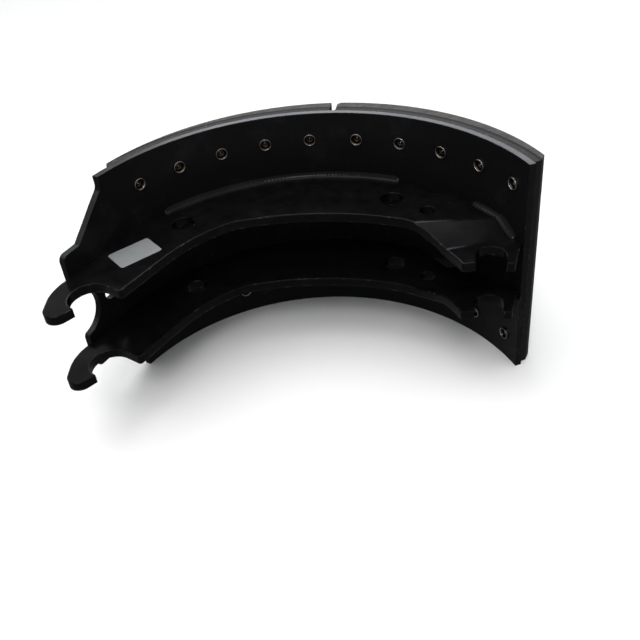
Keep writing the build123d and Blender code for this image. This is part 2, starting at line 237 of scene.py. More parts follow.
@dataclass(frozen=True)
class GlossBlackEnamel:
    """Sprayed black enamel on pressed steel plate.

    It gives the eye a near-black surface with soft, dim reflections and a faint orange
    peel. The paint rounds the edges of the plate, so that they catch a thin light. Soft
    scuffs, fine scratches and small rubbed spots along the edges show that it was stored
    and handled. Faces that look up are painted lighter in patches: dust, and painted top
    light.
    """

    name: str = "gloss_black_enamel"
    colour: str = "#0f0f10"
    scuff_colour: str = "#171718"
    # Faces that look up get this lighter colour: dust, and painted top light
    dust_and_top_light_colour: str = "#2a2a2b"
    edge_colour: str = "#42403d"
    roughness: float = 0.22
    scuff_roughness: float = 0.38
    ior: float = 1.5
    gloss: float = 0.05
    peel_size: float = 3.2
    peel_height: float = 0.005
    scuff_size: float = 34.0
    scuff_low: float = 0.52
    scuff_high: float = 0.76
    # Real scratches are finer, so these are drawn as wide as they need to show
    scratch_size: Triple = (30.0, 0.5, 30.0)
    scratch_turn_rad: Triple = (0.3, 0.2, 0.7)
    scratch_low: float = 0.72
    scratch_high: float = 0.78
    scratch_cover: float = 0.6
    dust_size: float = 14.0
    dust_high: float = 0.8
    dust_and_top_light_cover: float = 0.4
    level_low: float = 0.6
    level_high: float = 0.95
    chip_size: float = 5.0
    chip_low: float = 0.54
    chip_high: float = 0.7
    edge_radius: float = 1.3
    edge_flat: float = 0.97
    edge_turned: float = 0.8

    def lay_wear(self, tree: Tree, place: Socket) -> Socket:
        """Adds the scuffs and the scratches.

        Args:
            tree: the node tree.
            place: coordinates of the piece.

        Returns:
            The mask of both.
        """
        scuff = add_node(
            tree,
            "ShaderNodeTexNoise",
            {"Vector": place, "Scale": per(self.scuff_size), "Detail": 5.0, "Roughness": 0.62},
        )
        scuff_mask = add_node(
            tree,
            "ShaderNodeMapRange",
            {
                "Value": scuff.outputs["Fac"],
                "From Min": self.scuff_low,
                "From Max": self.scuff_high,
            },
        )
        stretched = add_node(
            tree,
            "ShaderNodeMapping",
            {
                "Vector": place,
                "Rotation": self.scratch_turn_rad,
                "Scale": tuple(per(size) for size in self.scratch_size),
            },
        )
        scratch = add_node(
            tree,
            "ShaderNodeTexNoise",
            {"Vector": stretched.outputs["Vector"], "Scale": 1.0, "Detail": 1.0},
        )
        scratch_mask = add_node(
            tree,
            "ShaderNodeMapRange",
            {
                "Value": scratch.outputs["Fac"],
                "From Min": self.scratch_low,
                "From Max": self.scratch_high,
                "To Max": self.scratch_cover,
            },
        )
        return add_node(
            tree,
            "ShaderNodeMath",
            {0: scuff_mask.outputs["Result"], 1: scratch_mask.outputs["Result"]},
            operation="MAXIMUM",
        ).outputs["Value"]

    def lay_dust_and_top_light(self, tree: Tree, place: Socket, normal: Socket) -> Socket:
        """Adds dust and painted top light in patches on the faces that look up.

        Args:
            tree: the node tree.
            place: coordinates of the piece.
            normal: direction of the surface.

        Returns:
            The mask of the dust.
        """
        upright = add_node(tree, "ShaderNodeSeparateXYZ", {"Vector": normal})
        level = add_node(
            tree,
            "ShaderNodeMapRange",
            {
                "Value": upright.outputs["Z"],
                "From Min": self.level_low,
                "From Max": self.level_high,
            },
        )
        top_patches = add_node(
            tree,
            "ShaderNodeTexNoise",
            {"Vector": place, "Scale": per(self.dust_size), "Detail": 6.0, "Roughness": 0.68},
        )
        # More cover lowers the value at which the film starts
        film = add_node(
            tree,
            "ShaderNodeMapRange",
            {
                "Value": top_patches.outputs["Fac"],
                "From Min": 0.5 - self.dust_and_top_light_cover / 2,
                "From Max": self.dust_high,
                "To Max": self.dust_and_top_light_cover,
            },
        )
        return add_node(
            tree,
            "ShaderNodeMath",
            {0: level.outputs["Result"], 1: film.outputs["Result"]},
            operation="MULTIPLY",
        ).outputs["Value"]

    def lay_chips(self, tree: Tree, place: Socket, normal: Socket, rounded: Socket) -> Socket:
        """Adds rubbed spots where the rounded normal turns away from the flat one.

        Args:
            tree: the node tree.
            place: coordinates of the piece.
            normal: direction of the surface.
            rounded: the same with its edges rounded.

        Returns:
            The mask of the spots.
        """
        turned = add_node(
            tree, "ShaderNodeVectorMath", {0: rounded, 1: normal}, operation="DOT_PRODUCT"
        )
        edge = add_node(
            tree,
            "ShaderNodeMapRange",
            {
                "Value": turned.outputs["Value"],
                "From Min": self.edge_flat,
                "From Max": self.edge_turned,
            },
        )
        chips = add_node(
            tree,
            "ShaderNodeTexNoise",
            {"Vector": place, "Scale": per(self.chip_size), "Detail": 3.0},
        )
        chip_mask = add_node(
            tree,
            "ShaderNodeMapRange",
            {
                "Value": chips.outputs["Fac"],
                "From Min": self.chip_low,
                "From Max": self.chip_high,
            },
        )
        return add_node(
            tree,
            "ShaderNodeMath",
            {0: edge.outputs["Result"], 1: chip_mask.outputs["Result"]},
            operation="MULTIPLY",
        ).outputs["Value"]

    def build(self) -> Material:
        """Builds the enamel.

        Returns:
            The node material.
        """
        material, tree = new_tree(self.name)
        place = add_node(tree, "ShaderNodeTexCoord").outputs["Object"]
        normal = add_node(tree, "ShaderNodeNewGeometry").outputs["Normal"]
        rounded = add_node(
            tree, "ShaderNodeBevel", {"Radius": self.edge_radius * MM}, samples=6
        ).outputs["Normal"]
        worn = self.lay_wear(tree, place)
        layers = (
            (worn, self.scuff_colour),
            # Dust, and painted top light, on the faces that look up
            (self.lay_dust_and_top_light(tree, place, normal), self.dust_and_top_light_colour),
            (self.lay_chips(tree, place, normal, rounded), self.edge_colour),
        )
        colour: Colour | Socket = linear(self.colour)
        for mask, over in layers:
            colour = add_node(
                tree,
                "ShaderNodeMix",
                {"Factor": mask, MIX_FIRST: colour, MIX_SECOND: linear(over)},
                data_type="RGBA",
            ).outputs[MIX_RESULT]
        rough = add_node(
            tree,
            "ShaderNodeMapRange",
            {"Value": worn, "To Min": self.roughness, "To Max": self.scuff_roughness},
        )
        peel = add_node(
            tree,
            "ShaderNodeTexNoise",
            {"Vector": place, "Scale": per(self.peel_size), "Detail": 2.0, "Roughness": 0.4},
        )
        bump = add_node(
            tree,
            "ShaderNodeBump",
            {
                "Height": peel.outputs["Fac"],
                "Distance": self.peel_height * MM,
                "Normal": rounded,
            },
        )
        shader = add_node(
            tree,
            "ShaderNodeBsdfPrincipled",
            {
                "Base Color": colour,
                "Roughness": rough.outputs["Result"],
                "IOR": self.ior,
                "Specular IOR Level": self.gloss,
                "Normal": bump.outputs["Normal"],
            },
        )
        add_node(tree, "ShaderNodeOutputMaterial", {"Surface": shader.outputs["BSDF"]})
        return material


@dataclass(frozen=True)
class MouldedFriction:
    """Moulded resin friction compound, ground on its face and sides.

    It gives the eye a dry dark grey-brown with warm and cool patches, fine grit, pale
    flakes and short fibres. Its sides show a dull band by the table, then a dark line of
    painted shade and a paler band of painted light, streaked like grinding. Its cut ends
    and hole walls are dark.
    """

    name: str = "moulded_friction_compound"
    cool: str = "#2b2c29"
    warm: str = "#302a27"
    dark: str = "#191816"
    flake: str = "#6f6c66"
    fibre: str = "#5d5a55"
    # The side band is painted light, streaked like grinding; the dark line beside it is
    # painted shade
    band: str = "#585451"
    line: str = "#0a0a0a"
    roughness: float = 0.86
    ior: float = 1.45
    gloss: float = 0.25
    patch_size: float = 22.0
    patch_low: float = 0.38
    patch_high: float = 0.62
    # Real grit is a few tenths of a millimetre and is drawn as coarse as it needs to show
    grit_size: float = 1.5
    grit_low: float = 0.38
    grit_high: float = 0.58
    warp_size: float = 2.5
    flake_warp: float = 2.8
    flakes: Specks = Specks(
        Chance.OF_FLAKE, per(5.5), rarity=0.5, reach=0.25, edge=0.11, cover=0.85
    )
    # Real fibres are finer too, and the sizes are those of one unit of their own place
    fibres: Specks = Specks(
        Chance.OF_FIBRE, 0.45, rarity=0.87, reach=0.3, edge=0.05, cover=0.6
    )
    fibre_size: Triple = (4.6, 0.75, 0.75)
    fibre_curl: float = 2.4
    fibre_slants_rad: tuple[float, float] = (0.6, -0.9)
    fibre_dip_rad: float = 0.2
    side_level: float = 0.8
    line_from_table: float = 6.8
    line_half_width: float = 1.7
    line_core_share: float = 0.7
    line_sway: float = 1.2
    sway_size: float = 9.0
    band_fade: float = 1.5
    band_dull: float = 0.2
    grind_size: Triple = (14.0, 0.8, 4.0)
    grind_slant_rad: float = 1.0
    grind_low: float = 0.35
    grind_high: float = 0.65
    cut_facing: float = 0.4
    face_facing: float = 0.9
    cut_darkening: float = 0.9
    pore_pitch: float = 2.2
    pore_reach: float = 0.3
    grit_relief: float = 1.2
    relief: float = 0.12
    relief_strength: float = 0.7
    edge_radius: float = 0.8

    def unroll(self, tree: Tree, place: Socket, drum: Drum) -> tuple[Socket, Socket, Socket]:
        """Lays the arc out flat, so that a pattern can follow it.

        Args:
            tree: the node tree.
            place: coordinates of the piece.
            drum: where the drum axis and the table lie.

        Returns:
            The flat place, the radius from the drum axis and the direction away from it.
        """
        centred = add_node(
            tree,
            "ShaderNodeVectorMath",
            {0: place, 1: (-drum.axis_x * MM, -drum.axis_y * MM, 0.0)},
            operation="ADD",
        ).outputs["Vector"]
        split = add_node(tree, "ShaderNodeSeparateXYZ", {"Vector": centred}).outputs
        angle = add_node(
            tree, "ShaderNodeMath", {0: split["Y"], 1: split["X"]}, operation="ARCTAN2"
        )
        along = add_node(
            tree,
            "ShaderNodeMath",
            {0: angle.outputs["Value"], 1: drum.table_outer_r * MM},
            operation="MULTIPLY",
        )
        flattened = add_node(
            tree,
            "ShaderNodeVectorMath",
            {0: centred, 1: (1.0, 1.0, 0.0)},
            operation="MULTIPLY",
        ).outputs["Vector"]
        radius = add_node(
            tree, "ShaderNodeVectorMath", {0: flattened}, operation="LENGTH"
        ).outputs["Value"]
        outwards = add_node(
            tree, "ShaderNodeVectorMath", {0: flattened}, operation="NORMALIZE"
        ).outputs["Vector"]
        flat = add_node(
            tree,
            "ShaderNodeCombineXYZ",
            {"X": along.outputs["Value"], "Y": radius, "Z": split["Z"]},
        ).outputs["Vector"]
        return flat, radius, outwards

    def bend(self, tree: Tree, place: Socket, warp: Socket, by: float) -> Socket:
        """Shifts a place by a random amount.

        Args:
            tree: the node tree.
            place: the place.
            warp: random colour that gives the shift.
            by: the longest shift along each axis.

        Returns:
            The shifted place.
        """
        return add_node(
            tree,
            "ShaderNodeVectorMath",
            {0: warp, 1: (by * MM, by * MM, by * MM), 2: place},
            operation="MULTIPLY_ADD",
        ).outputs["Vector"]

    def lay_fibres(self, tree: Tree, curled: Socket) -> Socket:
        """Adds short curled fibres that lie in the ground face, in two slanted sets.

        Args:
            tree: the node tree.
            curled: the flat place, bent.

        Returns:
            The mask of the fibres.
        """
        masks = []
        for slant in self.fibre_slants_rad:
            turned = add_node(
                tree,
                "ShaderNodeMapping",
                {"Vector": curled, "Rotation": (0.0, slant, self.fibre_dip_rad)},
            )
            stretched = add_node(
                tree,
                "ShaderNodeMapping",
                {
                    "Vector": turned.outputs["Vector"],
                    "Scale": tuple(per(size) for size in self.fibre_size),
                },
            )
            masks.append(self.fibres.lay(tree, stretched.outputs["Vector"]))
        return add_node(
            tree, "ShaderNodeMath", {0: masks[0], 1: masks[1]}, operation="MAXIMUM"
        ).outputs["Value"]

    def lay_grinding(self, tree: Tree, flat: Socket) -> Socket:
        """Adds slanting grinding marks.

        Args:
            tree: the node tree.
            flat: the flat place.

        Returns:
            The mask of the marks.
        """
        slanted = add_node(
            tree,
            "ShaderNodeMapping",
            {"Vector": flat, "Rotation": (0.0, 0.0, self.grind_slant_rad)},
        )
        streaked = add_node(
            tree,
            "ShaderNodeMapping",
            {
                "Vector": slanted.outputs["Vector"],
                "Scale": tuple(per(size) for size in self.grind_size),
            },
        )
        streaks = add_node(
            tree,
            "ShaderNodeTexNoise",
            {"Vector": streaked.outputs["Vector"], "Scale": 1.0, "Detail": 3.0},
        )
        return add_node(
            tree,
            "ShaderNodeMapRange",
            {
                "Value": streaks.outputs["Fac"],
                "From Min": self.grind_low,
                "From Max": self.grind_high,
            },
        ).outputs["Result"]

    def lay_sides(
        self,
        tree: Tree,
        place: Socket,
        flat: Socket,
        radius: Socket,
        level: Socket,
        drum: Drum,
    ) -> list[Socket]:
        """Adds the sides' band of painted light, streaked like grinding, with a painted shade
        line at its inner edge.

        Args:
            tree: the node tree.
            place: coordinates of the piece.
            flat: the flat place.
            radius: the radius from the drum axis.
            level: how far the face looks up or down.
            drum: where the table lies.

        Returns:
            The masks of the band and of the line.
        """
        is_side = add_node(
            tree, "ShaderNodeMath", {0: level, 1: self.side_level}, operation="GREATER_THAN"
        ).outputs["Value"]
        sway = add_node(
            tree,
            "ShaderNodeTexNoise",
            {"Vector": place, "Scale": per(self.sway_size), "Detail": 2.0},
        )
        wavy = add_node(
            tree,
            "ShaderNodeMath",
            {0: sway.outputs["Fac"], 1: self.line_sway * MM, 2: radius},
            operation="MULTIPLY_ADD",
        )
        line_r = drum.table_outer_r + self.line_from_table + self.line_sway / 2
        beside = add_node(
            tree,
            "ShaderNodeMath",
            {0: wavy.outputs["Value"], 1: line_r * MM},
            operation="SUBTRACT",
        ).outputs["Value"]
        apart = add_node(tree, "ShaderNodeMath", {0: beside}, operation="ABSOLUTE")
        line = add_node(
            tree,
            "ShaderNodeMapRange",
            {
                "Value": apart.outputs["Value"],
                "From Min": self.line_half_width * MM,
                "From Max": self.line_half_width * self.line_core_share * MM,
            },
        ).outputs["Result"]
        outer = add_node(
            tree,
            "ShaderNodeMapRange",
            {"Value": beside, "From Max": self.band_fade * MM, "To Min": self.band_dull},
        ).outputs["Result"]
        ground = add_node(
            tree,
            "ShaderNodeMath",
            {0: self.lay_grinding(tree, flat), 1: outer},
            operation="MULTIPLY",
        ).outputs["Value"]
        return [
            add_node(
                tree, "ShaderNodeMath", {0: mask, 1: is_side}, operation="MULTIPLY"
            ).outputs["Value"]
            for mask in (ground, line)
        ]

    def lay_cuts(self, tree: Tree, outwards: Socket, normal: Socket, level: Socket) -> Socket:
        """Darkens the cut ends and hole walls, whose faces look neither along the drum axis
        nor away from it.

        Args:
            tree: the node tree.
            outwards: direction away from the drum axis.
            normal: direction of the surface.
            level: how far the face looks up or down.

        Returns:
            The mask of the darkening.
        """
        facing = add_node(
            tree, "ShaderNodeVectorMath", {0: outwards, 1: normal}, operation="DOT_PRODUCT"
        )
        radial = add_node(
            tree, "ShaderNodeMath", {0: facing.outputs["Value"]}, operation="ABSOLUTE"
        )
        ground = add_node(
            tree, "ShaderNodeMath", {0: radial.outputs["Value"], 1: level}, operation="ADD"
        )
        return add_node(
            tree,
            "ShaderNodeMapRange",
            {
                "Value": ground.outputs["Value"],
                "From Min": self.face_facing,
                "From Max": self.cut_facing,
                "To Max": self.cut_darkening,
            },
        ).outputs["Result"]

    def lay_relief(self, tree: Tree, bent: Socket, grit: Socket) -> Socket:
        """Adds the relief of pores and grit over slightly rounded edges.

        Args:
            tree: the node tree.
            bent: the warped place.
            grit: the grit's own value.

        Returns:
            The direction of the rough surface.
        """
        pores = add_node(
            tree, "ShaderNodeTexVoronoi", {"Vector": bent, "Scale": per(self.pore_pitch)}
        )
        pore_depth = add_node(
            tree,
            "ShaderNodeMapRange",
            {"Value": pores.outputs["Distance"], "From Max": self.pore_reach},
        )
        height = add_node(
            tree,
            "ShaderNodeMath",
            {0: grit, 1: self.grit_relief, 2: pore_depth.outputs["Result"]},
            operation="MULTIPLY_ADD",
        )
        rounded = add_node(
            tree, "ShaderNodeBevel", {"Radius": self.edge_radius * MM}, samples=4
        )
        return add_node(
            tree,
            "ShaderNodeBump",
            {
                "Height": height.outputs["Value"],
                "Distance": self.relief * MM,
                "Strength": self.relief_strength,
                "Normal": rounded.outputs["Normal"],
            },
        ).outputs["Normal"]

    def build(self, drum: Drum) -> Material:
        """Builds the friction compound.

        Args:
            drum: where the drum axis and the table lie.

        Returns:
            The node material.
        """
        material, tree = new_tree(self.name)
        place = add_node(tree, "ShaderNodeTexCoord").outputs["Object"]
        normal = add_node(tree, "ShaderNodeNewGeometry").outputs["True Normal"]
        upright = add_node(tree, "ShaderNodeSeparateXYZ", {"Vector": normal})
        level = add_node(
            tree, "ShaderNodeMath", {0: upright.outputs["Z"]}, operation="ABSOLUTE"
        ).outputs["Value"]
        flat, radius, outwards = self.unroll(tree, place, drum)
        warp = add_node(
            tree,
            "ShaderNodeTexNoise",
            {"Vector": place, "Scale": per(self.warp_size), "Detail": 2.0},
        ).outputs["Color"]
        bent = self.bend(tree, place, warp, self.flake_warp)
        curled = self.bend(tree, flat, warp, self.fibre_curl)

        patches = add_node(
            tree,
            "ShaderNodeTexNoise",
            {"Vector": place, "Scale": per(self.patch_size), "Detail": 4.0, "Roughness": 0.6},
        )
        tone = add_node(
            tree,
            "ShaderNodeMapRange",
            {
                "Value": patches.outputs["Fac"],
                "From Min": self.patch_low,
                "From Max": self.patch_high,
            },
        )
        patched = add_node(
            tree,
            "ShaderNodeMix",
            {
                "Factor": tone.outputs["Result"],
                MIX_FIRST: linear(self.cool),
                MIX_SECOND: linear(self.warm),
            },
            data_type="RGBA",
        )
        grit = add_node(
            tree,
            "ShaderNodeTexNoise",
            {"Vector": place, "Scale": per(self.grit_size), "Detail": 4.0, "Roughness": 0.7},
        ).outputs["Fac"]
        grit_mask = add_node(
            tree,
            "ShaderNodeMapRange",
            {"Value": grit, "From Min": self.grit_low, "From Max": self.grit_high},
        )
        colour = add_node(
            tree,
            "ShaderNodeMix",
            {
                "Factor": grit_mask.outputs["Result"],
                MIX_FIRST: linear(self.dark),
                MIX_SECOND: patched.outputs[MIX_RESULT],
            },
            data_type="RGBA",
        ).outputs[MIX_RESULT]
        painted_light_side, painted_shade_side = self.lay_sides(tree, place, flat, radius, level, drum)
        layers = (
            (self.flakes.lay(tree, bent), self.flake),
            (self.lay_fibres(tree, curled), self.fibre),
            # The sides get a band of painted light and a line of painted shade
            (painted_light_side, self.band),
            (painted_shade_side, self.line),
            (self.lay_cuts(tree, outwards, normal, level), self.line),
        )
        for mask, over in layers:
            colour = add_node(
                tree,
                "ShaderNodeMix",
                {"Factor": mask, MIX_FIRST: colour, MIX_SECOND: linear(over)},
                data_type="RGBA",
            ).outputs[MIX_RESULT]
        shader = add_node(
            tree,
            "ShaderNodeBsdfPrincipled",
            {
                "Base Color": colour,
                "Roughness": self.roughness,
                "IOR": self.ior,
                "Specular IOR Level": self.gloss,
                "Normal": self.lay_relief(tree, bent, grit),
            },
        )
        add_node(tree, "ShaderNodeOutputMaterial", {"Surface": shader.outputs["BSDF"]})
        return material


@dataclass(frozen=True)
class PlatedRivetSteel:
    """Plated soft steel of a clinched rivet.

    It gives the eye a thin silver-grey ring, dulled in spots. In the cup it is darker and
    browner, with small sharp glints.
    """

    name: str = "plated_rivet_steel"
    colour: str = "#9e9e9c"
    tarnish: str = "#6e6a63"
    roughness: float = 0.22
    tarnish_roughness: float = 0.47
    tarnish_size: float = 2.4
    tarnish_low: float = 0.45
    tarnish_high: float = 0.7
    tarnish_height: float = 0.02

    def build(self) -> Material:
        """Builds the metal.

        Returns:
            The node material.
        """
        material, tree = new_tree(self.name)
        place = add_node(tree, "ShaderNodeTexCoord").outputs["Object"]
        stain = add_node(
            tree,
            "ShaderNodeTexNoise",
            {"Vector": place, "Scale": per(self.tarnish_size), "Detail": 4.0},
        ).outputs["Fac"]
        mask = add_node(
            tree,
            "ShaderNodeMapRange",
            {"Value": stain, "From Min": self.tarnish_low, "From Max": self.tarnish_high},
        ).outputs["Result"]
        colour = add_node(
            tree,
            "ShaderNodeMix",
            {
                "Factor": mask,
                MIX_FIRST: linear(self.colour),
                MIX_SECOND: linear(self.tarnish),
            },
            data_type="RGBA",
        )
        rough = add_node(
            tree,
            "ShaderNodeMapRange",
            {"Value": mask, "To Min": self.roughness, "To Max": self.tarnish_roughness},
        )
        bump = add_node(
            tree, "ShaderNodeBump", {"Height": stain, "Distance": self.tarnish_height * MM}
        )
        shader = add_node(
            tree,
            "ShaderNodeBsdfPrincipled",
            {
                "Base Color": colour.outputs[MIX_RESULT],
                "Metallic": 1.0,
                "Roughness": rough.outputs["Result"],
                "Normal": bump.outputs["Normal"],
            },
        )
        add_node(tree, "ShaderNodeOutputMaterial", {"Surface": shader.outputs["BSDF"]})
        return material


@dataclass(frozen=True)
class SatinVinyl:
    """White satin vinyl of a blank label.

    It gives the eye a soft silvery grey-white with faint clouds.
    """

    name: str = "satin_white_vinyl"
    colour: str = "#858788"
    shade: str = "#737576"
    roughness: float = 0.45
    cloud_size: float = 6.0
    cloud_height: float = 0.02

    def build(self) -> Material:
        """Builds the vinyl.

        Returns:
            The node material.
        """
        material, tree = new_tree(self.name)
        place = add_node(tree, "ShaderNodeTexCoord").outputs["Object"]
        clouds = add_node(
            tree,
            "ShaderNodeTexNoise",
            {"Vector": place, "Scale": per(self.cloud_size), "Detail": 5.0},
        ).outputs["Fac"]
        colour = add_node(
            tree,
            "ShaderNodeMix",
            {
                "Factor": clouds,
                MIX_FIRST: linear(self.colour),
                MIX_SECOND: linear(self.shade),
            },
            data_type="RGBA",
        )
        bump = add_node(
            tree, "ShaderNodeBump", {"Height": clouds, "Distance": self.cloud_height * MM}
        )
        shader = add_node(
            tree,
            "ShaderNodeBsdfPrincipled",
            {
                "Base Color": colour.outputs[MIX_RESULT],
                "Roughness": self.roughness,
                "Normal": bump.outputs["Normal"],
            },
        )
        add_node(tree, "ShaderNodeOutputMaterial", {"Surface": shader.outputs["BSDF"]})
        return material


def mesh_piece(
    name: str, points: list[Vector], faces: list[tuple[int, ...]], material: Material
) -> Thing:
    """Makes a smooth-shaded mesh object in the scene.

    Args:
        name: the piece's name.
        points: its corners in metres.
        faces: corner numbers of each face.
        material: its finish.

    Returns:
        The new object.
    """
    mesh = bpy.data.meshes.new(name)
    mesh.from_pydata([tuple(point) for point in points], [], faces)
    mesh.validate()
    mesh.materials.append(material)
    mesh.polygons.foreach_set("use_smooth", [True] * len(mesh.polygons))
    mesh.update()
    piece = bpy.data.objects.new(name, mesh)
    bpy.context.scene.collection.objects.link(piece)
    return piece


def grid_faces(rows: int, columns: int, closed: bool = False) -> list[tuple[int, ...]]:
    """Quads between the rows of a grid of points.

    Args:
        rows: number of rows of points.
        columns: number of points in a row.
        closed: whether the last column joins the first.

    Returns:
        Corner numbers of each quad.
    """
    steps = columns if closed else columns - 1
    return [
        (
            row * columns + column,
            row * columns + (column + 1) % columns,
            (row + 1) * columns + (column + 1) % columns,
            (row + 1) * columns + column,
        )
        for row in range(rows - 1)
        for column in range(steps)
    ]


def arc_steps(turn: float, steps: int) -> list[float]:
    """Angles at the ends of the equal steps of an arc, in radians."""
    return [turn * step / steps for step in range(1, steps + 1)]


@dataclass
class WeldBead:
    """One fillet weld between the outer face of a web and the inner face of the table.

    A negative crown makes the face hollow. Slow waves sway the bead's size, and chevron
    ripples cross it, lumpier towards its ends. Its toes sink a little into both plates.
    """

    drum: Drum
    side: Side
    node: str
    start: float
    end: float
    seed: int
    bend: float | None = None
    foot: float | None = None
    drop: float = 10.0
    leg: float = 5.2
    crown: float = -1.3
    ripple_pitch: float = 3.4
    ripple_height: float = 0.04
    lump_height: float = 0.14
    chevron: float = 2.2
    waves: int = 4
    wave_lengths: tuple[float, float] = (9.0, 40.0)
    wave_heights: tuple[float, float] = (0.05, 0.16)
    leg_sway: float = 0.5
    ripple_sway: float = 0.6
    end_taper: float = 7.0
    end_leg_share: float = 0.35
    root: float = 0.12
    station_step: float = 0.45
    profile_steps: int = 12

    def level(self, angle: float) -> float:
        """Finds the height of the web's outer face beside the table.

        Args:
            angle: where along the table.

        Returns:
            The height over the middle of the shoe.
        """
        if self.bend is None or angle >= self.bend:
            return self.drum.web_outer_z
        share = min(1.0, (self.bend - angle) / (self.bend - self.foot))
        return self.drum.web_outer_z - self.drop * share

    def section(self, run: float, length: float, uneven: float) -> list[Vector]:
        """Section of the bead at a distance from its start.

        Args:
            run: the distance.
            length: length of the bead.
            uneven: what the waves add there.

        Returns:
            Points in metres, from the toe on the web to the toe on the table.
        """
        angle = self.start + (self.end - self.start) * run / length
        from_end = min(run, length - run) / self.end_taper
        rise = math.sqrt(max(0.0, 1 - max(0.0, 1 - from_end) ** 2))
        leg = self.leg * (self.end_leg_share + (1 - self.end_leg_share) * rise)
        leg += self.leg_sway * uneven * rise
        lump = self.ripple_height + self.lump_height * (1 - rise)
        points = []
        for place in range(self.profile_steps + 1):
            share = place / self.profile_steps
            lag = self.chevron * (1 - (2 * share - 1) ** 2) + self.ripple_sway * uneven
            ripple = math.sin(math.tau * (run + lag) / self.ripple_pitch)
            swell = math.sin(math.pi * share)
            # The face slopes at 45 degrees, so its swell goes inwards and upwards alike
            out = rise * swell * (self.crown + lump * ripple) * math.sqrt(0.5)
            sink = self.root * (1 - swell)
            radius = self.drum.table_inner_r - leg * (1 - share) - out
            height = self.level(angle) + leg * share + out
            if share > 0.5:
                radius += sink
            if share < 0.5:
                height -= sink
            points.append(self.drum.point(radius, angle, self.side.value * height))
        return points

    def build(self, finish: Material) -> Thing:
        """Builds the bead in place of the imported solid.

        Args:
            finish: the paint over the weld.

        Returns:
            The bead.
        """
        draw = random.Random(self.seed)
        length = math.radians(abs(self.end - self.start)) * self.drum.table_inner_r
        stations = int(length / self.station_step)
        waves = [
            (
                draw.uniform(*self.wave_lengths),
                draw.uniform(0, math.tau),
                draw.uniform(*self.wave_heights),
            )
            for _ in range(self.waves)
        ]
        points: list[Vector] = []
        for station in range(stations + 1):
            run = station / stations * length
            uneven = sum(
                high * math.sin(math.tau * run / wide + phase) for wide, phase, high in waves
            )
            points += self.section(run, length, uneven)
        columns = self.profile_steps + 1
        faces = grid_faces(stations + 1, columns)
        faces.append(tuple(range(columns)))
        faces.append(tuple(reversed(range(len(points) - columns, len(points)))))
        piece = mesh_piece(f"{self.node}_bead", points, faces, finish)
        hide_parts(self.node)
        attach(piece, "root")
        return piece


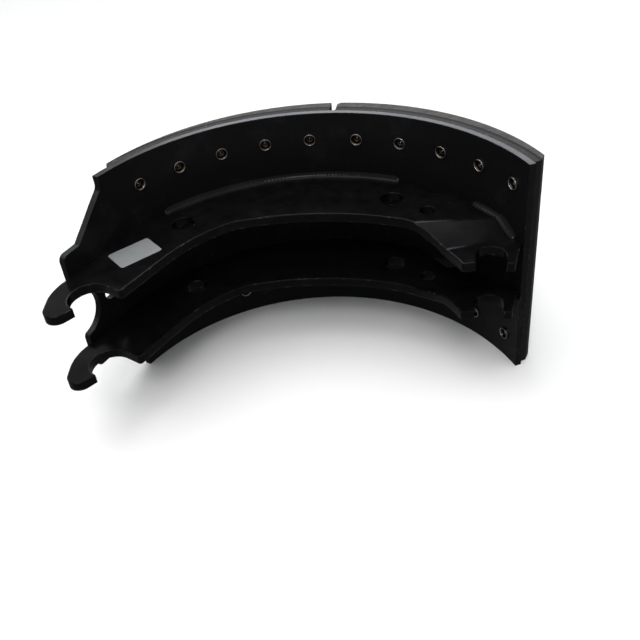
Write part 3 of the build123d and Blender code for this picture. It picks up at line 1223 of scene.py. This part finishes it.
@dataclass
class RivetRow:
    """Half a row of hollow rivets, clinched on the inner face of the table."""

    drum: Drum
    node: str
    angles: tuple[float, ...]
    height: float
    ring_r: float = 5.4
    ring_height: float = 1.7
    ring_edge: float = 0.4
    ring_sink: float = 0.2
    rim_r: float = 4.95
    rim_width: float = 0.8
    rim_steps: int = 7
    mouth_steps: int = 6
    bore_r: float = 3.3
    cup_depth: float = 4.0
    cup_wall: float = 1.0
    cup_corner: float = 0.5
    cup_corner_rise: float = 0.6
    pip_r: float = 0.9
    pip_height: float = 1.8
    pip_top_share: float = 0.6
    pip_side_share: float = 0.8
    shank_r: float = 4.0
    shank_sink: float = 0.3
    head_r: float = 7.2
    head_height: float = 1.8
    head_seat: float = 4.2
    head_chamfer: float = 0.2
    head_chamfer_rise: float = 0.25
    head_round: float = 0.5
    head_crown: float = 0.06
    oval: float = 0.008
    ripple: float = 0.005
    ripple_lobes: int = 5
    lip_end: float = 0.1
    segments: int = 56
    seed: int = 5

    @property
    def seat(self) -> float:
        """Distance from the drum axis to the plane where the ring's edge meets the table."""
        return math.sqrt(self.drum.table_inner_r**2 - self.ring_r**2)

    def profile(self) -> list[tuple[float, float, Metal]]:
        """Section of a rivet, from the middle of its cup over the rim to its head.

        Returns:
            Radius and outward distance of each point, and the metal of the band that
            starts there.
        """
        grip = self.drum.table_outer_r + self.head_seat - self.seat
        floor = self.cup_depth - self.ring_height
        # A shiny pip stands on the cup's floor
        pip = [
            (0.0, floor - self.pip_height),
            (self.pip_r * self.pip_top_share, floor - self.pip_height * self.pip_side_share),
        ]
        # The cup opens like a trumpet to the rim
        half_rim = self.rim_width / 2
        mouth_r = self.rim_r - half_rim
        wall_end = floor - self.cup_wall
        cup = [
            (self.pip_r, floor),
            (self.bore_r - self.cup_corner, floor),
            (self.bore_r, floor - self.cup_corner_rise),
        ]
        for turn in arc_steps(math.pi / 2, self.mouth_steps):
            radius = mouth_r - (mouth_r - self.bore_r) * math.cos(turn)
            climb = (wall_end + self.ring_height - half_rim) * math.sin(turn)
            cup.append((radius, wall_end - climb))
        # The rim is rolled over as a thin torus that ends on the table
        rim = [
            (
                self.rim_r - half_rim * math.cos(turn),
                half_rim * (1 - math.sin(turn)) - self.ring_height,
            )
            for turn in arc_steps(math.pi, self.rim_steps)
        ]
        rim += [(self.ring_r, -self.ring_edge), (self.ring_r, self.ring_sink)]
        top = grip + self.head_height
        head = [
            (self.shank_r, self.shank_sink),
            (self.shank_r, grip),
            (self.head_r - self.head_chamfer, grip),
            (self.head_r, grip + self.head_chamfer_rise),
            (self.head_r, top - self.head_round),
            (self.head_r - self.head_round, top - self.head_crown),
            (self.head_r / 2, top),
            (0.0, top),
        ]
        # The last band of the cup already turns over the rim, in the ring's metal
        metals = [Metal.RING] * len(pip) + [Metal.CUP] * (len(cup) - 1)
        metals += [Metal.RING] * (len(rim) + 1) + [Metal.CUP] * len(head)
        return [
            (radius, outward, metal)
            for (radius, outward), metal in zip(pip + cup + rim + head, metals)
        ]

    def rivet(
        self, section: list[tuple[float, float, Metal]], angle: float, phase: float
    ) -> list[Vector]:
        """Turns the section into one rivet, whose rolled lip isn't quite round.

        Args:
            section: the rivet's section.
            angle: where it stands on the table.
            phase: where its uneven lip starts, in radians.

        Returns:
            Points in metres, ring by ring.
        """
        out = self.drum.outwards(angle)
        side = Vector((-out.y, out.x, 0.0))
        up = Vector((0.0, 0.0, 1.0))
        start = self.drum.point(self.seat, angle, self.height)
        points = []
        for radius, outward, _ in section:
            on_lip = outward < self.lip_end
            for segment in range(self.segments):
                turn = math.tau * segment / self.segments
                uneven = self.oval * math.sin(2 * turn + phase)
                uneven += self.ripple * math.sin(self.ripple_lobes * turn - phase)
                reach = radius * (1 + uneven) if on_lip else radius
                across = (side * math.cos(turn) + up * math.sin(turn)) * reach
                points.append(start + (out * outward + across) * MM)
        return points

    def build(self, finish: Material, cup_finish: Material) -> Thing:
        """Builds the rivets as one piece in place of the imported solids.

        Args:
            finish: the rivets' metal.
            cup_finish: the metal inside their cups.

        Returns:
            The rivets.
        """
        draw = random.Random(self.seed)
        section = self.profile()
        quads = grid_faces(len(section), self.segments, closed=True)
        points: list[Vector] = []
        faces: list[tuple[int, ...]] = []
        for angle in self.angles:
            first = len(points)
            points += self.rivet(section, angle, draw.uniform(0, math.tau))
            faces += [tuple(first + corner for corner in quad) for quad in quads]
        piece = mesh_piece(f"{self.node}_clinched", points, faces, finish)
        piece.data.materials.append(cup_finish)
        bands = len(section) - 1
        for number, face in enumerate(piece.data.polygons):
            _, _, metal = section[number // self.segments % bands]
            face.material_index = metal.value
        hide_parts(self.node)
        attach(piece, "root")
        return piece


@dataclass
class BlankLabel:
    """A small blank label on the upper web, near the anchor end."""

    centre_x: float = 16.2
    centre_y: float = 61.8
    level: float = 38.0
    length: float = 38.0
    width: float = 26.0
    turn: float = 47.5
    thickness: float = 0.15
    corner_r: float = 2.4
    corner_steps: int = 6

    def outline(self) -> list[tuple[float, float]]:
        """Draws the label's rounded outline about its own middle.

        Returns:
            Points along and across the label, anticlockwise.
        """
        points = []
        for quarter, (sign_x, sign_y) in enumerate(((1, 1), (-1, 1), (-1, -1), (1, -1))):
            corner_x = sign_x * (self.length / 2 - self.corner_r)
            corner_y = sign_y * (self.width / 2 - self.corner_r)
            for part in range(self.corner_steps + 1):
                turn = math.pi / 2 * (quarter + part / self.corner_steps)
                points.append(
                    (
                        corner_x + self.corner_r * math.cos(turn),
                        corner_y + self.corner_r * math.sin(turn),
                    )
                )
        return points

    def build(self, finish: Material) -> Thing:
        """Builds the label.

        Args:
            finish: the label's face.

        Returns:
            The label.
        """
        outline = self.outline()
        cos, sin = math.cos(math.radians(self.turn)), math.sin(math.radians(self.turn))
        points = [
            Vector(
                (
                    self.centre_x + along * cos - across * sin,
                    self.centre_y + along * sin + across * cos,
                    height,
                )
            )
            * MM
            for height in (self.level, self.level + self.thickness)
            for along, across in outline
        ]
        count = len(outline)
        faces = grid_faces(2, count, closed=True)
        faces.append(tuple(range(count, 2 * count)))
        faces.append(tuple(reversed(range(count))))
        piece = mesh_piece("blank_label", points, faces, finish)
        piece.data.polygons.foreach_set("use_smooth", [False] * len(piece.data.polygons))
        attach(piece, "root")
        return piece


@dataclass
class BrakeShoe:
    """The whole shoe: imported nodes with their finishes, and the pieces over them."""

    drum: Drum
    long_start: float = 72.0
    long_end: float = 139.6
    long_seed: int = 7
    short_start: float = 49.0
    short_end: float = 33.1
    short_seed: int = 11
    bend: float = 39.19
    middle: float = 90.0
    first_rivet: float = 6.37
    rivet_pitch: float = 12.12
    rivets: int = 5
    row_height: float = 75.4
    # Overspray lies on the table's rim and dulls it to grey
    # The table's rim and its other faces that look up are painted grey: dust, and painted top
    # light
    plate: GlossBlackEnamel = GlossBlackEnamel(dust_and_top_light_colour="#4a4b4c", dust_and_top_light_cover=0.85)
    # The webs are deeper black and glossier, with wider rounded edges
    webs: GlossBlackEnamel = GlossBlackEnamel(
        name="gloss_black_enamel_on_webs",
        colour="#060607",
        scuff_colour="#0d0d0e",
        # Their faces that look up are painted lighter: dust, and painted top light
        dust_and_top_light_colour="#1b1b1c",
        roughness=0.17,
        scuff_roughness=0.28,
        gloss=0.085,
        edge_radius=2.1,
    )
    # The paint lies thick over the welds and draws a soft light along them
    welds: GlossBlackEnamel = GlossBlackEnamel(
        name="gloss_black_enamel_over_welds",
        colour="#0a0a0b",
        scuff_colour="#161617",
        roughness=0.17,
        scuff_roughness=0.3,
        gloss=0.12,
        edge_radius=0.3,
    )
    # The cups hold brown tarnish that is still smooth enough to glint
    cups: PlatedRivetSteel = PlatedRivetSteel(
        name="tarnished_rivet_cup",
        colour="#453b32",
        tarnish="#1f1813",
        roughness=0.14,
        tarnish_roughness=0.39,
    )

    def dress_nodes(self, finishes: dict[Slot, Material], web_finish: Material) -> list[Thing]:
        """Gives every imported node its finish.

        Args:
            finishes: material of each slot.
            web_finish: material of the two webs.

        Returns:
            The nodes.
        """
        webs = {f"{side.half}_web": web_finish for side in Side}
        nodes = []
        for part in frame["record"]["subparts"]:
            node = frame["nodes"][part["node"]]
            finish = webs.get(part["node"], finishes[Slot(part["material_slot"])])
            if not node.material_slots:
                node.data.materials.append(finish)
            for held in node.material_slots:
                held.material = finish
            nodes.append(node)
        return nodes

    def beads(self, side: Side) -> tuple[WeldBead, WeldBead]:
        """Sets out the welds of one web.

        Args:
            side: the half that the web is in.

        Returns:
            The long weld and the short one.
        """
        long_bead = WeldBead(
            self.drum,
            side,
            f"{side.half}_long_weld",
            self.long_start,
            self.long_end,
            self.long_seed,
        )
        short_bead = WeldBead(
            self.drum,
            side,
            f"{side.half}_short_weld",
            self.short_start,
            self.short_end,
            self.short_seed,
            bend=self.bend,
            foot=self.short_end,
        )
        return long_bead, short_bead

    def rows(self, side: Side) -> list[RivetRow]:
        """Sets out the row of rivets above or below the webs.

        Args:
            side: the half that the row is in.

        Returns:
            The row's end at the cam and its end at the anchor.
        """
        rows = []
        for end, way in (("cam", -1), ("anchor", 1)):
            angles = tuple(
                self.middle + way * (self.first_rivet + place * self.rivet_pitch)
                for place in range(self.rivets)
            )
            node = f"{end}_end_{side.half}_rivets"
            rows.append(RivetRow(self.drum, node, angles, side.value * self.row_height))
        return rows

    def build(self) -> list[Thing]:
        """Dresses the shoe's nodes and builds its own pieces.

        Returns:
            The nodes and the pieces.
        """
        plate, webs, welds = (finish.build() for finish in (self.plate, self.webs, self.welds))
        lining = MouldedFriction().build(self.drum)
        rivet = PlatedRivetSteel().build()
        cup = self.cups.build()
        finishes = {Slot.PAINT: plate, Slot.LINING: lining, Slot.RIVET: rivet}
        things = self.dress_nodes(finishes, webs)
        for side in Side:
            things += [bead.build(welds) for bead in self.beads(side)]
            things += [row.build(rivet, cup) for row in self.rows(side)]
        things.append(BlankLabel().build(SatinVinyl().build()))
        return things


@dataclass(frozen=True)
class Softbox:
    """A square area light that points at the shoe, with its power in watts.

    Gloss shows it where it is mirrored, and matt surfaces where it lights them.
    """

    name: str
    place: Triple
    size: float
    power: float
    tint: str = "#ffffff"
    mirrored: bool = True
    lights: bool = True

    def build(self, target: Vector) -> Thing:
        """Hangs the light.

        Args:
            target: the place that it points at, in millimetres.

        Returns:
            The light.
        """
        light = bpy.data.lights.new(self.name, "AREA")
        light.size = self.size * MM
        light.energy = self.power
        light.color = linear(self.tint)[:3]
        lamp = bpy.data.objects.new(self.name, light)
        lamp.visible_glossy = self.mirrored
        lamp.visible_diffuse = self.lights
        place = Vector(self.place)
        lamp.location = place * MM
        lamp.rotation_euler = (place - target).to_track_quat("Z", "Y").to_euler()
        bpy.context.scene.collection.objects.link(lamp)
        return lamp


@dataclass
class Studio:
    """Pale floor, soft lights and the camera."""

    floor_level: float = -100.0
    floor_size: float = 60000.0
    floor_colour: str = "#f4f4f3"
    floor_roughness: float = 0.9
    room_colour: str = "#e2e3e4"
    room_below: float = 0.5
    room_low: float = 0.66
    room_high: float = 1.0
    # Sines of the angles under the horizon between which the room darkens
    dusk_start: float = -0.01
    dusk_end: float = -0.05
    target: Triple = (160.0, 90.0, 0.0)
    softboxes: tuple[Softbox, ...] = (
        Softbox("overhead_softbox", (-250.0, 250.0, 1500.0), size=1100.0, power=7.0),
        Softbox("front_softbox", (250.0, -1200.0, 1500.0), size=600.0, power=9.0),
        Softbox(
            "back_softbox",
            (100.0, 1700.0, 1150.0),
            size=1600.0,
            power=54.0,
            tint="#f3f7ff",
            lights=False,
        ),
        Softbox(
            "ceiling_scrim", (160.0, -200.0, 2500.0), size=3500.0, power=30.0, mirrored=False
        ),
    )
    camera: Triple = (292.675, -479.107, 405.576)
    view_turn: float = 103.1377
    view_drop: float = 37.9675
    view_roll: float = -6.5429
    lens_px: float = 832.573
    frame_px: float = 640.0
    sensor_width: float = 36.0
    clip_start: float = 10.0
    clip_end: float = 50000.0

    def build_floor(self) -> None:
        """Builds the floor under the shoe."""
        half = self.floor_size / 2
        corners = [
            Vector((x * half, y * half, self.floor_level)) * MM
            for x, y in ((-1, -1), (1, -1), (1, 1), (-1, 1))
        ]
        material, tree = new_tree("pale_floor_board")
        shader = add_node(
            tree,
            "ShaderNodeBsdfPrincipled",
            {"Base Color": linear(self.floor_colour), "Roughness": self.floor_roughness},
        )
        add_node(tree, "ShaderNodeOutputMaterial", {"Surface": shader.outputs["BSDF"]})
        floor = mesh_piece("floor", corners, [(0, 1, 2, 3)], material)
        # The floor lights the shoe but leaves no glare in its gloss
        floor.visible_glossy = False

    def build_room(self) -> None:
        """Builds the pale room, lighter overhead and darker under the horizon."""
        world = bpy.data.worlds.new("studio")
        world.use_nodes = True
        tree = world.node_tree
        tree.nodes.clear()
        towards = add_node(tree, "ShaderNodeTexCoord").outputs["Generated"]
        up = add_node(tree, "ShaderNodeSeparateXYZ", {"Vector": towards}).outputs["Z"]
        above = add_node(
            tree,
            "ShaderNodeMapRange",
            {"Value": up, "To Min": self.room_low, "To Max": self.room_high},
        )
        # The floor hides what is below the horizon from the eye, so only gloss shows it
        below = add_node(
            tree,
            "ShaderNodeMapRange",
            {
                "Value": up,
                "From Min": self.dusk_end,
                "From Max": self.dusk_start,
                "To Min": self.room_below,
            },
        )
        level = add_node(
            tree,
            "ShaderNodeMath",
            {0: above.outputs["Result"], 1: below.outputs["Result"]},
            operation="MULTIPLY",
        )
        room = add_node(
            tree,
            "ShaderNodeBackground",
            {"Color": linear(self.room_colour), "Strength": level.outputs["Value"]},
        )
        add_node(tree, "ShaderNodeOutputWorld", {"Surface": room.outputs["Background"]})
        bpy.context.scene.world = world

    def place_camera(self) -> None:
        """Places the camera as the photograph was taken."""
        turn, drop = math.radians(self.view_turn), math.radians(self.view_drop)
        forward = Vector(
            (math.cos(drop) * math.cos(turn), math.cos(drop) * math.sin(turn), -math.sin(drop))
        )
        level = forward.cross(Vector((0.0, 0.0, 1.0))).normalized()
        upright = level.cross(forward)
        roll = math.radians(self.view_roll)
        right = level * math.cos(roll) + upright * math.sin(roll)
        up = right.cross(forward)
        camera = bpy.data.cameras.new("photo_camera")
        camera.sensor_width = self.sensor_width
        camera.sensor_height = self.sensor_width
        camera.lens = self.lens_px * self.sensor_width / self.frame_px
        camera.clip_start = self.clip_start * MM
        camera.clip_end = self.clip_end * MM
        holder = bpy.data.objects.new("photo_camera", camera)
        aim = Matrix((right, up, -forward)).transposed().to_4x4()
        holder.matrix_world = Matrix.Translation(Vector(self.camera) * MM) @ aim
        bpy.context.scene.collection.objects.link(holder)
        bpy.context.scene.camera = holder

    def build(self) -> None:
        """Builds the floor, the room, the lights and the camera."""
        self.build_floor()
        self.build_room()
        for softbox in self.softboxes:
            softbox.build(Vector(self.target))
        self.place_camera()
        bpy.context.scene.view_settings.view_transform = "Standard"


def main() -> None:
    """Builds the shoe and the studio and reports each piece."""
    logging.basicConfig(level=logging.INFO, format="%(name)s: %(message)s")
    for thing in BrakeShoe(Drum()).build():
        log.info("%s in %s", thing.name, thing.active_material.name)
    Studio().build()


if __name__ == "__main__":
    main()
